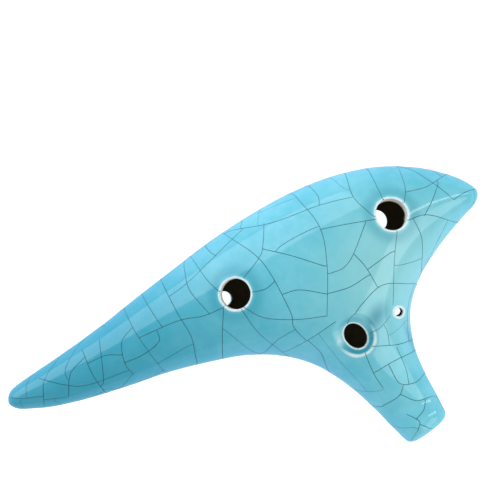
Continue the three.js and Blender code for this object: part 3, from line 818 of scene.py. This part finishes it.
class Nodes:
    """A shader or geometry tree under construction."""

    def __init__(self, tree):
        self.tree = tree
        tree.nodes.clear()

    def add(self, kind, settings=None, **inputs):
        node = self.tree.nodes.new(kind)
        for name, value in (settings or {}).items():
            setattr(node, name, value)
        for name, value in inputs.items():
            self.feed(node, name.replace("_", " "), value)
        return node

    def feed(self, node, name, value):
        socket = node.inputs[name] if isinstance(name, (str, int)) else name
        if isinstance(value, bpy.types.NodeSocket):
            self.tree.links.new(value, socket)
        else:
            socket.default_value = value

    def mix(self, share, a, b):
        node = self.add("ShaderNodeMix", {"data_type": "RGBA"})
        self.feed(node, node.inputs[0], share)
        self.feed(node, node.inputs[6], a)
        self.feed(node, node.inputs[7], b)
        return node.outputs[2]

    def math(self, operation, *values, clamp=False):
        node = self.add("ShaderNodeMath", {"operation": operation, "use_clamp": clamp})
        for i, value in enumerate(values):
            self.feed(node, i, value)
        return node.outputs[0]

    def attribute(self, name):
        return self.add("ShaderNodeAttribute", {"attribute_name": name}).outputs["Fac"]

    def noise(self, place, scale, detail=2.0, roughness=0.5):
        node = self.add("ShaderNodeTexNoise", Scale=scale, Detail=detail, Roughness=roughness)
        self.feed(node, "Vector", place)
        return node.outputs["Fac"]

    def spread(self, value, low, high):
        node = self.add("ShaderNodeMapRange", {"interpolation_type": "SMOOTHSTEP"})
        self.feed(node, "Value", value)
        self.feed(node, "From Min", low)
        self.feed(node, "From Max", high)
        return node.outputs["Result"]


def rgba(value):
    return (*value, 1.0)


def new_material(name):
    material = bpy.data.materials.new(name)
    material.use_nodes = True
    return material, Nodes(material.node_tree)


def glaze_material(looks):
    """Crackle glaze over clay, told by the marks on the mesh where it is thin, pooled, painted shaded or
    bare, with painted shade on the tail and in the chamber and a painted sheen on the body.
    """
    material, nodes = new_material("crackle_glaze")
    place = nodes.add("ShaderNodeTexCoord").outputs["Object"]
    bare, white, pool_and_shade, inside = (nodes.attribute(n) for n in ("bare", "white", "pool_and_shade", "inside"))
    cloud = nodes.spread(nodes.noise(place, 22.0, 2.0), 0.35, 0.68)
    mottle = nodes.spread(nodes.noise(place, 160.0, 3.0, 0.6), 0.3, 0.75)
    flow = nodes.math("MULTIPLY_ADD", mottle, 0.24, nodes.math("MULTIPLY", cloud, 0.42))
    colour = nodes.mix(flow, rgba(looks.body), rgba(looks.pale))
    along = nodes.add("ShaderNodeSeparateXYZ")
    nodes.feed(along, "Vector", place)
    heart = nodes.add("ShaderNodeVectorMath", {"operation": "DISTANCE"})
    nodes.feed(heart, 0, place)
    nodes.feed(heart, 1, (0.050, 0.012, 0.028))
    # Paler patch round one point of the body, partly thinner glaze and partly a painted sheen
    thin_glaze_and_sheen = nodes.math("MULTIPLY", nodes.spread(heart.outputs["Value"], 0.042, 0.006), 0.66)
    colour = nodes.mix(thin_glaze_and_sheen, colour, rgba(looks.thin_glaze_and_sheen))
    # Painted shade: the glaze colour darkens towards the tail
    tail = nodes.spread(along.outputs["X"], 0.035, -0.075)
    colour = nodes.mix(nodes.math("MULTIPLY", tail, 0.75), colour, rgba(looks.tail))
    # Pooled glaze round the holes and painted shade in the hollows, in the deep colour
    pool_and_shade_share = nodes.math("MULTIPLY", pool_and_shade, 0.85)
    colour = nodes.mix(pool_and_shade_share, colour, rgba(looks.deep))
    ragged = nodes.math("MULTIPLY_ADD", mottle, 0.3, white)
    colour = nodes.mix(nodes.spread(ragged, 0.25, 1.1), colour, rgba(looks.rim))
    colour = nodes.mix(bare, colour, rgba(looks.clay))
    # Painted shade: the clay inside the chamber is coloured dark
    colour = nodes.mix(inside, colour, rgba(looks.chamber))
    grain = nodes.noise(place, 1400.0, 2.0)
    ripple = nodes.noise(place, 90.0, 1.0)
    height = nodes.math("MULTIPLY_ADD", nodes.math("MULTIPLY", grain, bare), 0.25, ripple)
    bump = nodes.add("ShaderNodeBump", Strength=0.12, Distance=0.0004)
    nodes.feed(bump, "Height", height)
    shader = nodes.add("ShaderNodeBsdfPrincipled", IOR=1.52)
    nodes.feed(shader, "Base Color", colour)
    glossy = nodes.math("MULTIPLY_ADD", mottle, 0.04, 0.07)
    rough = nodes.add("ShaderNodeMix", {"data_type": "FLOAT"})
    nodes.feed(rough, rough.inputs[0], bare)
    nodes.feed(rough, rough.inputs[2], glossy)
    nodes.feed(rough, rough.inputs[3], 0.85)
    nodes.feed(shader, "Roughness", rough.outputs[0])
    nodes.feed(shader, "Normal", bump.outputs["Normal"])
    out = nodes.add("ShaderNodeOutputMaterial")
    nodes.feed(out, "Surface", shader.outputs["BSDF"])
    return material


def plain_material(name, colour, roughness, speck=0.0):
    """An even material, with a fine speckle when one is asked for."""
    material, nodes = new_material(name)
    shader = nodes.add("ShaderNodeBsdfPrincipled", Roughness=roughness)
    place = nodes.add("ShaderNodeTexCoord").outputs["Object"]
    darker = tuple(c * (1 - speck) for c in colour)
    shade = nodes.mix(nodes.noise(place, 900.0, 3.0), rgba(darker), rgba(colour))
    nodes.feed(shader, "Base Color", shade)
    out = nodes.add("ShaderNodeOutputMaterial")
    nodes.feed(out, "Surface", shader.outputs["BSDF"])
    return material


# ---------------------------------------------------------------- craze


class Craze:
    """Cracks that grow over the skin one after another, each ending on an older one."""

    STEP = 0.6
    PULL = 3.5  # distance at which an older crack starts to turn a new one square to itself
    LONGEST = 160
    CARRY = 9  # steps that a drawn crack may run on to meet another
    ROUND = 70  # steps that it may run on round the edge of the body
    STEEP = 0.6

    def __init__(self, clay, seed, cell, tail_cell):
        self.clay, self.random = clay, np.random.default_rng(seed)
        self.laid = self.rims()
        self.lines = []
        self.samples = self.scatter()
        tail = smoothstep(8, 75, self.samples[:, 0])
        self.reach = lerp(tail_cell, cell, tail) * self.random.uniform(0.8, 1.25, len(tail))
        self.gap = np.full(len(self.samples), np.inf)
        self.note(self.laid)

    def field(self, points):
        x, y, z = points.T
        return self.clay.skin(x, y, z, self.clay.plan.at(x, y))

    def scatter(self):
        """Points spread evenly over the skin."""
        clay, pitch = self.clay, 2.0
        deep = max(clay.heights) + MARGIN
        low = np.array([clay.plan.x[0], clay.plan.y[0], -deep])
        high = np.array([clay.plan.x[-1], clay.plan.y[-1], deep])
        axes = [np.arange(a, b, pitch) for a, b in zip(low, high)]
        grid = np.stack(np.meshgrid(*axes, indexing="ij"), -1).reshape(-1, 3)
        values = self.field(grid).reshape([len(a) for a in axes])
        points, _ = surface_net(values, low, pitch)
        return clay.settle(points, self.field, 2)

    def rims(self):
        """Points round every opening, where a crack may end."""
        clay, found = self.clay, []
        turn = np.linspace(0, 2 * np.pi, 48, endpoint=False)[:, None]
        for hole in clay.holes:
            axis = hole["axis"]
            one = np.cross(axis, (0, 1, 0))
            one /= np.linalg.norm(one)
            two = np.cross(axis, one)
            radius = hole["radius"] + hole["soft"] * 0.8
            found.append(hole["centre"] + radius * (one * np.cos(turn) + two * np.sin(turn)))
        top = clay.heights[0] * 0.8
        for centre, long, wide in (
            (clay.window, clay.edge + 0.4, clay.body["window_width"] / 2 + 0.4),
            (clay.strap, clay.body["strap_bore"] / 2 + 0.5, clay.body["strap_bore"] / 2 + 0.5),
        ):
            ring = centre + clay.way * long * np.cos(turn) + clay.side * wide * np.sin(turn)
            found.append(np.column_stack([ring, np.full(len(ring), top)]))
        return clay.settle(np.concatenate(found), self.field, 30)

    def note(self, points):
        """Shortens each sample's distance to the nearest crack by newly laid points."""
        for start in range(0, len(points), 64):
            block = points[start : start + 64]
            apart = np.linalg.norm(self.samples[:, None] - block[None], axis=2).min(1)
            self.gap = np.minimum(self.gap, apart)

    def lay(self, line):
        line = np.array(line)
        if len(line) < 4:
            return
        self.lines.append(line)
        self.laid = np.concatenate([self.laid, line])
        self.note(line)

    def nearest(self, point):
        apart = np.linalg.norm(self.laid - point, axis=1)
        found = int(np.argmin(apart))
        return self.laid[found], apart[found]

    def walk(self, start, way, longest):
        """A wandering line over the skin that ends square on an older crack or a rim."""
        line, point = [start], start.copy()
        bend = self.random.normal(0, 0.018)
        for _ in range(longest):
            normal, speed = self.clay.facing(point[None], self.field)
            normal = normal[0]
            bend = 0.97 * bend + self.random.normal(0, 0.0045)
            way = way + np.cross(normal, way) * bend * self.STEP
            target, apart = self.nearest(point)
            if apart < self.STEP * 1.05:
                line.append(target)
                break
            if apart < self.PULL:
                way = way + (target - point) / apart * 0.35 * (1 - apart / self.PULL)
            way = way - normal * (way @ normal)
            way /= np.linalg.norm(way)
            point = point + way * self.STEP
            point = point - normal * (self.field(point[None])[0] / speed[0])
            line.append(point)
        return line

    def draw(self, path):
        """A crack through drawn points of the thumb side, carried on to what it ends on."""
        knots = on_plan(path)
        padded = np.concatenate([[2 * knots[0] - knots[1]], knots, [2 * knots[-1] - knots[-2]]])
        length = np.linalg.norm(np.diff(knots, axis=0), axis=1).sum()
        share = np.linspace(0, len(knots) - 1.001, max(6, int(length / self.STEP)))
        flat = at_knot(padded, share + 1)
        bulge = np.maximum(self.clay.plan.at(*flat.T)[0], 0.002)
        line = np.column_stack([flat, self.clay.heights[0] * np.sqrt(bulge)])
        line = list(self.clay.settle(line, self.field, 6))
        for _ in range(2):
            line.reverse()
            way = line[-1] - line[-3]
            steep = self.clay.facing(line[-1][None], self.field)[0][0, 2] < self.STEEP
            steps = self.ROUND if steep else self.CARRY
            carried = self.walk(line[-1], way / np.linalg.norm(way), steps)
            if steep or len(carried) <= steps:
                line += carried[1:]
        self.lay(line)

    def fill(self):
        """Splits the widest cell again and again until every cell is small enough."""
        for _ in range(900):
            widest = int(np.argmax(self.gap / self.reach))
            if self.gap[widest] < self.reach[widest]:
                return
            seed = self.samples[widest]
            target, _ = self.nearest(seed)
            normal = self.clay.facing(seed[None], self.field)[0][0]
            way = target - seed
            way -= normal * (way @ normal)
            way = way / np.linalg.norm(way) + np.cross(normal, way) * self.random.normal(0, 0.02)
            back = self.walk(seed, -way / np.linalg.norm(way), self.LONGEST)
            front = self.walk(seed, way / np.linalg.norm(way), self.LONGEST)
            self.lay(back[:0:-1] + front)
            self.gap[widest] = 0


def craze_ribbons():
    """Geometry nodes that draw every line of edges as a fine thread sunk in the glaze."""
    tree = bpy.data.node_groups.new("craze_threads", "GeometryNodeTree")
    face = tree.interface
    face.new_socket("Geometry", in_out="INPUT", socket_type="NodeSocketGeometry")
    face.new_socket("Half Width", in_out="INPUT", socket_type="NodeSocketFloat")
    face.new_socket("Sides", in_out="INPUT", socket_type="NodeSocketInt")
    face.new_socket("Material", in_out="INPUT", socket_type="NodeSocketMaterial")
    face.new_socket("Geometry", in_out="OUTPUT", socket_type="NodeSocketGeometry")
    nodes = Nodes(tree)
    given = nodes.add("NodeGroupInput")
    curve = nodes.add("GeometryNodeMeshToCurve")
    nodes.feed(curve, "Mesh", given.outputs["Geometry"])
    share = nodes.add("GeometryNodeInputNamedAttribute", {"data_type": "FLOAT"}, Name="weight")
    width = nodes.math("MULTIPLY", share.outputs["Attribute"], given.outputs["Half Width"])
    ring = nodes.add("GeometryNodeCurvePrimitiveCircle", {"mode": "RADIUS"}, Radius=1.0)
    nodes.feed(ring, "Resolution", given.outputs["Sides"])
    thread = nodes.add("GeometryNodeCurveToMesh", Fill_Caps=True)
    nodes.feed(thread, "Curve", curve.outputs["Curve"])
    nodes.feed(thread, "Profile Curve", ring.outputs["Curve"])
    nodes.feed(thread, "Scale", width)
    real = nodes.add("GeometryNodeRealizeInstances")
    nodes.feed(real, "Geometry", thread.outputs["Mesh"])
    dress = nodes.add("GeometryNodeSetMaterial")
    nodes.feed(dress, "Geometry", real.outputs["Geometry"])
    nodes.feed(dress, "Material", given.outputs["Material"])
    out = nodes.add("NodeGroupOutput")
    nodes.feed(out, "Geometry", dress.outputs["Geometry"])
    return tree


def with_modifier(name, mesh, tree, values):
    """The plain mesh that a geometry nodes modifier makes of a mesh."""
    carrier = bpy.data.objects.new(name + "_lines", mesh)
    bpy.context.scene.collection.objects.link(carrier)
    modifier = carrier.modifiers.new("threads", "NODES")
    modifier.node_group = tree
    for item in tree.interface.items_tree:
        if item.in_out == "INPUT" and item.name in values:
            modifier[item.identifier] = values[item.name]
    bpy.context.view_layer.update()
    shown = carrier.evaluated_get(bpy.context.evaluated_depsgraph_get())
    made = bpy.data.meshes.new_from_object(shown)
    made.name = name
    bpy.data.objects.remove(carrier)
    return made


def build_craze(context):
    clay = clay_now()
    shift = to_row(clay)
    wanted = sizes(context.scene.ocarina_craze)
    craze = Craze(clay, context.scene.ocarina_craze.seed, wanted["cell"], wanted["tail_cell"])
    for path in MAIN_CRACKS:
        craze.draw(path)
    craze.fill()
    material = plain_material("craze_stain", context.scene.ocarina_looks.craze, 0.45)
    tree = craze_ribbons()
    radius = wanted["line"] * 0.62
    for side, name in ((1, "craze_back"), (-1, "craze_front")):
        places, edges, weights = [], [], []
        for number, line in enumerate(craze.lines):
            weight = 1.0 if number < len(MAIN_CRACKS) else craze.random.uniform(0.55, 0.95)
            kept = (line[:, 2] * side >= -0.35) & (clay.at(line) < 0.12)
            for start in range(len(line) - 1):
                if not (kept[start] and kept[start + 1]):
                    continue
                if not start or not (kept[start - 1] and kept[start]):
                    places.append(line[start])
                    weights.append(weight)
                edges.append((len(places) - 1, len(places)))
                places.append(line[start + 1])
                weights.append(weight)
        places = np.array(places)
        normals, _ = clay.facing(places, craze.field)
        places = places - normals * (radius * 0.72) * np.array(weights)[:, None]
        mesh = bpy.data.meshes.new(name + "_lines")
        mesh.from_pydata(((places + shift) * MM).tolist(), edges, [])
        weight = mesh.attributes.new("weight", "FLOAT", "POINT")
        weight.data.foreach_set("value", np.array(weights, np.float32))
        values = {"Half Width": radius * MM, "Sides": 6, "Material": material}
        finish_piece(name, with_modifier(name, mesh, tree, values), material)


# ---------------------------------------------------------------- airway slabs


def build_airway(context):
    clay = clay_now()
    shift = to_row(clay)
    material = plain_material("bare_clay", context.scene.ocarina_looks.clay, 0.85, 0.25)
    slabs = (("airway_floor_slab", "windway_floor", 0), ("airway_roof_slab", "windway_roof", 1))
    for name, node, roof in slabs:
        bm = bmesh.new()
        corners = []
        for along in (clay.edge + FIT, clay.end - SLAB_SETBACK):
            middle, half, wide = clay.air(along)
            thick = clay.airway["slab"]
            low = middle + half if roof else middle - half - thick
            for aside, z in ((-1, low), (1, low), (1, low + thick), (-1, low + thick)):
                spot = clay.window + clay.way * along + clay.side * aside * (wide - FIT)
                place = (np.array([*spot, z]) + shift) * MM
                corners.append(bm.verts.new(place))
        rings = [(0, 1, 2, 3), (7, 6, 5, 4)] + [(i, i + 4, (i + 1) % 4 + 4, (i + 1) % 4) for i in range(4)]
        for ring in rings:
            bm.faces.new([corners[i] for i in ring])
        bmesh.ops.recalc_face_normals(bm, faces=bm.faces)
        bmesh.ops.bevel(
            bm, geom=bm.edges[:], offset=SLAB_EDGE * MM, segments=2, affect="EDGES", clamp_overlap=True
        )
        mesh = bpy.data.meshes.new(name)
        bm.to_mesh(mesh)
        bm.free()
        finish_piece(name, mesh, material, (node,))


# ---------------------------------------------------------------- stage


def build_stage(context):
    scene = context.scene
    world = bpy.data.worlds.new("studio")
    scene.world = world
    world.use_nodes = True
    nodes = Nodes(world.node_tree)
    light = nodes.add("ShaderNodeLightPath")
    sky = nodes.add("ShaderNodeSeparateXYZ")
    nodes.feed(sky, "Vector", nodes.add("ShaderNodeTexCoord").outputs["Generated"])
    height = nodes.spread(sky.outputs["Z"], 0.1, 0.9)
    mirrored = nodes.mix(height, TENT_LOW, TENT_HIGH)
    tent = nodes.mix(light.outputs["Is Glossy Ray"], TENT_GLOW, mirrored)
    back = nodes.add("ShaderNodeBackground")
    nodes.feed(back, "Color", nodes.mix(light.outputs["Is Camera Ray"], tent, WHITE))
    out = nodes.add("ShaderNodeOutputWorld")
    nodes.feed(out, "Surface", back.outputs["Background"])
    scene.view_settings.view_transform = "Standard"

    bpy.ops.mesh.primitive_plane_add(size=6.0, location=(0, 0, 0))
    floor = context.object
    floor.name = "floor"
    material, nodes = new_material("pale_floor")
    shader = nodes.add("ShaderNodeBsdfPrincipled", Roughness=0.9)
    nodes.feed(shader, "Base Color", FLOOR_BASE)
    light = nodes.add("ShaderNodeLightPath")
    glow = nodes.mix(light.outputs["Is Glossy Ray"], FLOOR_GLOW, FLOOR_MIRRORED)
    glow = nodes.mix(light.outputs["Is Camera Ray"], glow, FLOOR_SEEN)
    nodes.feed(shader, "Emission Color", glow)
    nodes.feed(shader, "Emission Strength", 1.0)
    out = nodes.add("ShaderNodeOutputMaterial")
    nodes.feed(out, "Surface", shader.outputs["BSDF"])
    floor.data.materials.append(material)

    for name, place, size, watts, tint in LAMPS:
        data = bpy.data.lights.new(name, "AREA")
        data.shape, data.size, data.size_y = "RECTANGLE", *size
        data.energy, data.color = watts, tint
        lamp = bpy.data.objects.new(name, data)
        scene.collection.objects.link(lamp)
        lamp.location = place
        lamp.rotation_euler = (Vector(AIM) - Vector(place)).to_track_quat("-Z", "Y").to_euler()

    camera_data = bpy.data.cameras.new("camera")
    camera_data.lens, camera_data.sensor_width = CAMERA_LENS, SENSOR_WIDTH
    camera_data.clip_start, camera_data.clip_end = 0.01, 20.0
    camera = bpy.data.objects.new("camera", camera_data)
    scene.collection.objects.link(camera)
    turn = math.radians(CAMERA_TURN)
    right = Vector((math.cos(turn), -math.sin(turn), 0))
    up = Vector((math.sin(turn), math.cos(turn), 0))
    frame_turn = Matrix((right, up, Vector((0, 0, 1)))).transposed()
    over = Vector(AIM) + Vector((0, 0, CAMERA_HEIGHT))
    camera.matrix_world = Matrix.Translation(over) @ frame_turn.to_4x4()
    scene.camera = camera


# ---------------------------------------------------------------- operators and panel


class OCARINA_OT_body(bpy.types.Operator):
    """Builds the two glazed shells with their holes, window and strap hole"""

    bl_idname = "ocarina.body"
    bl_label = "Glazed Shells"

    def execute(self, context):
        build_body(context)
        return {"FINISHED"}


class OCARINA_OT_airway(bpy.types.Operator):
    """Builds the floor and the roof slab of the airway"""

    bl_idname = "ocarina.airway"
    bl_label = "Airway Slabs"

    def execute(self, context):
        build_airway(context)
        return {"FINISHED"}


class OCARINA_OT_craze(bpy.types.Operator):
    """Grows the net of cracks in the glaze"""

    bl_idname = "ocarina.craze"
    bl_label = "Craze"

    def execute(self, context):
        build_craze(context)
        return {"FINISHED"}


class OCARINA_OT_stage(bpy.types.Operator):
    """Sets up the floor, the lights and the camera"""

    bl_idname = "ocarina.stage"
    bl_label = "Studio"

    def execute(self, context):
        build_stage(context)
        return {"FINISHED"}


OPERATORS = (OCARINA_OT_body, OCARINA_OT_airway, OCARINA_OT_craze, OCARINA_OT_stage)
GROUPS = {
    "ocarina_body": OcarinaBodySizes,
    "ocarina_airway": OcarinaAirwaySizes,
    "ocarina_looks": OcarinaGlazeLooks,
    "ocarina_craze": OcarinaCrazeSizes,
}


class OCARINA_PT_panel(bpy.types.Panel):
    """Lists the ocarina's pieces and their sizes"""

    bl_idname = "OCARINA_PT_panel"
    bl_label = "Transverse Ocarina"
    bl_space_type = "VIEW_3D"
    bl_region_type = "UI"
    bl_category = "Ocarina"

    def draw(self, context):
        for operator in OPERATORS:
            self.layout.operator(operator.bl_idname)
        for name, group in GROUPS.items():
            box = self.layout.box()
            for key in group.bl_rna.properties.keys():
                if key not in {"rna_type", "name"}:
                    box.prop(getattr(context.scene, name), key)


def register():
    for group in GROUPS.values():
        bpy.utils.register_class(group)
    for name, group in GROUPS.items():
        setattr(bpy.types.Scene, name, bpy.props.PointerProperty(type=group))
    for item in (*OPERATORS, OCARINA_PT_panel):
        bpy.utils.register_class(item)


def unregister():
    for item in (OCARINA_PT_panel, *reversed(OPERATORS)):
        bpy.utils.unregister_class(item)
    for name, group in GROUPS.items():
        delattr(bpy.types.Scene, name)
        bpy.utils.unregister_class(group)


def main():
    register()
    bpy.ops.ocarina.body()
    bpy.ops.ocarina.airway()
    bpy.ops.ocarina.craze()
    bpy.ops.ocarina.stage()


if __name__ == "__main__":
    main()
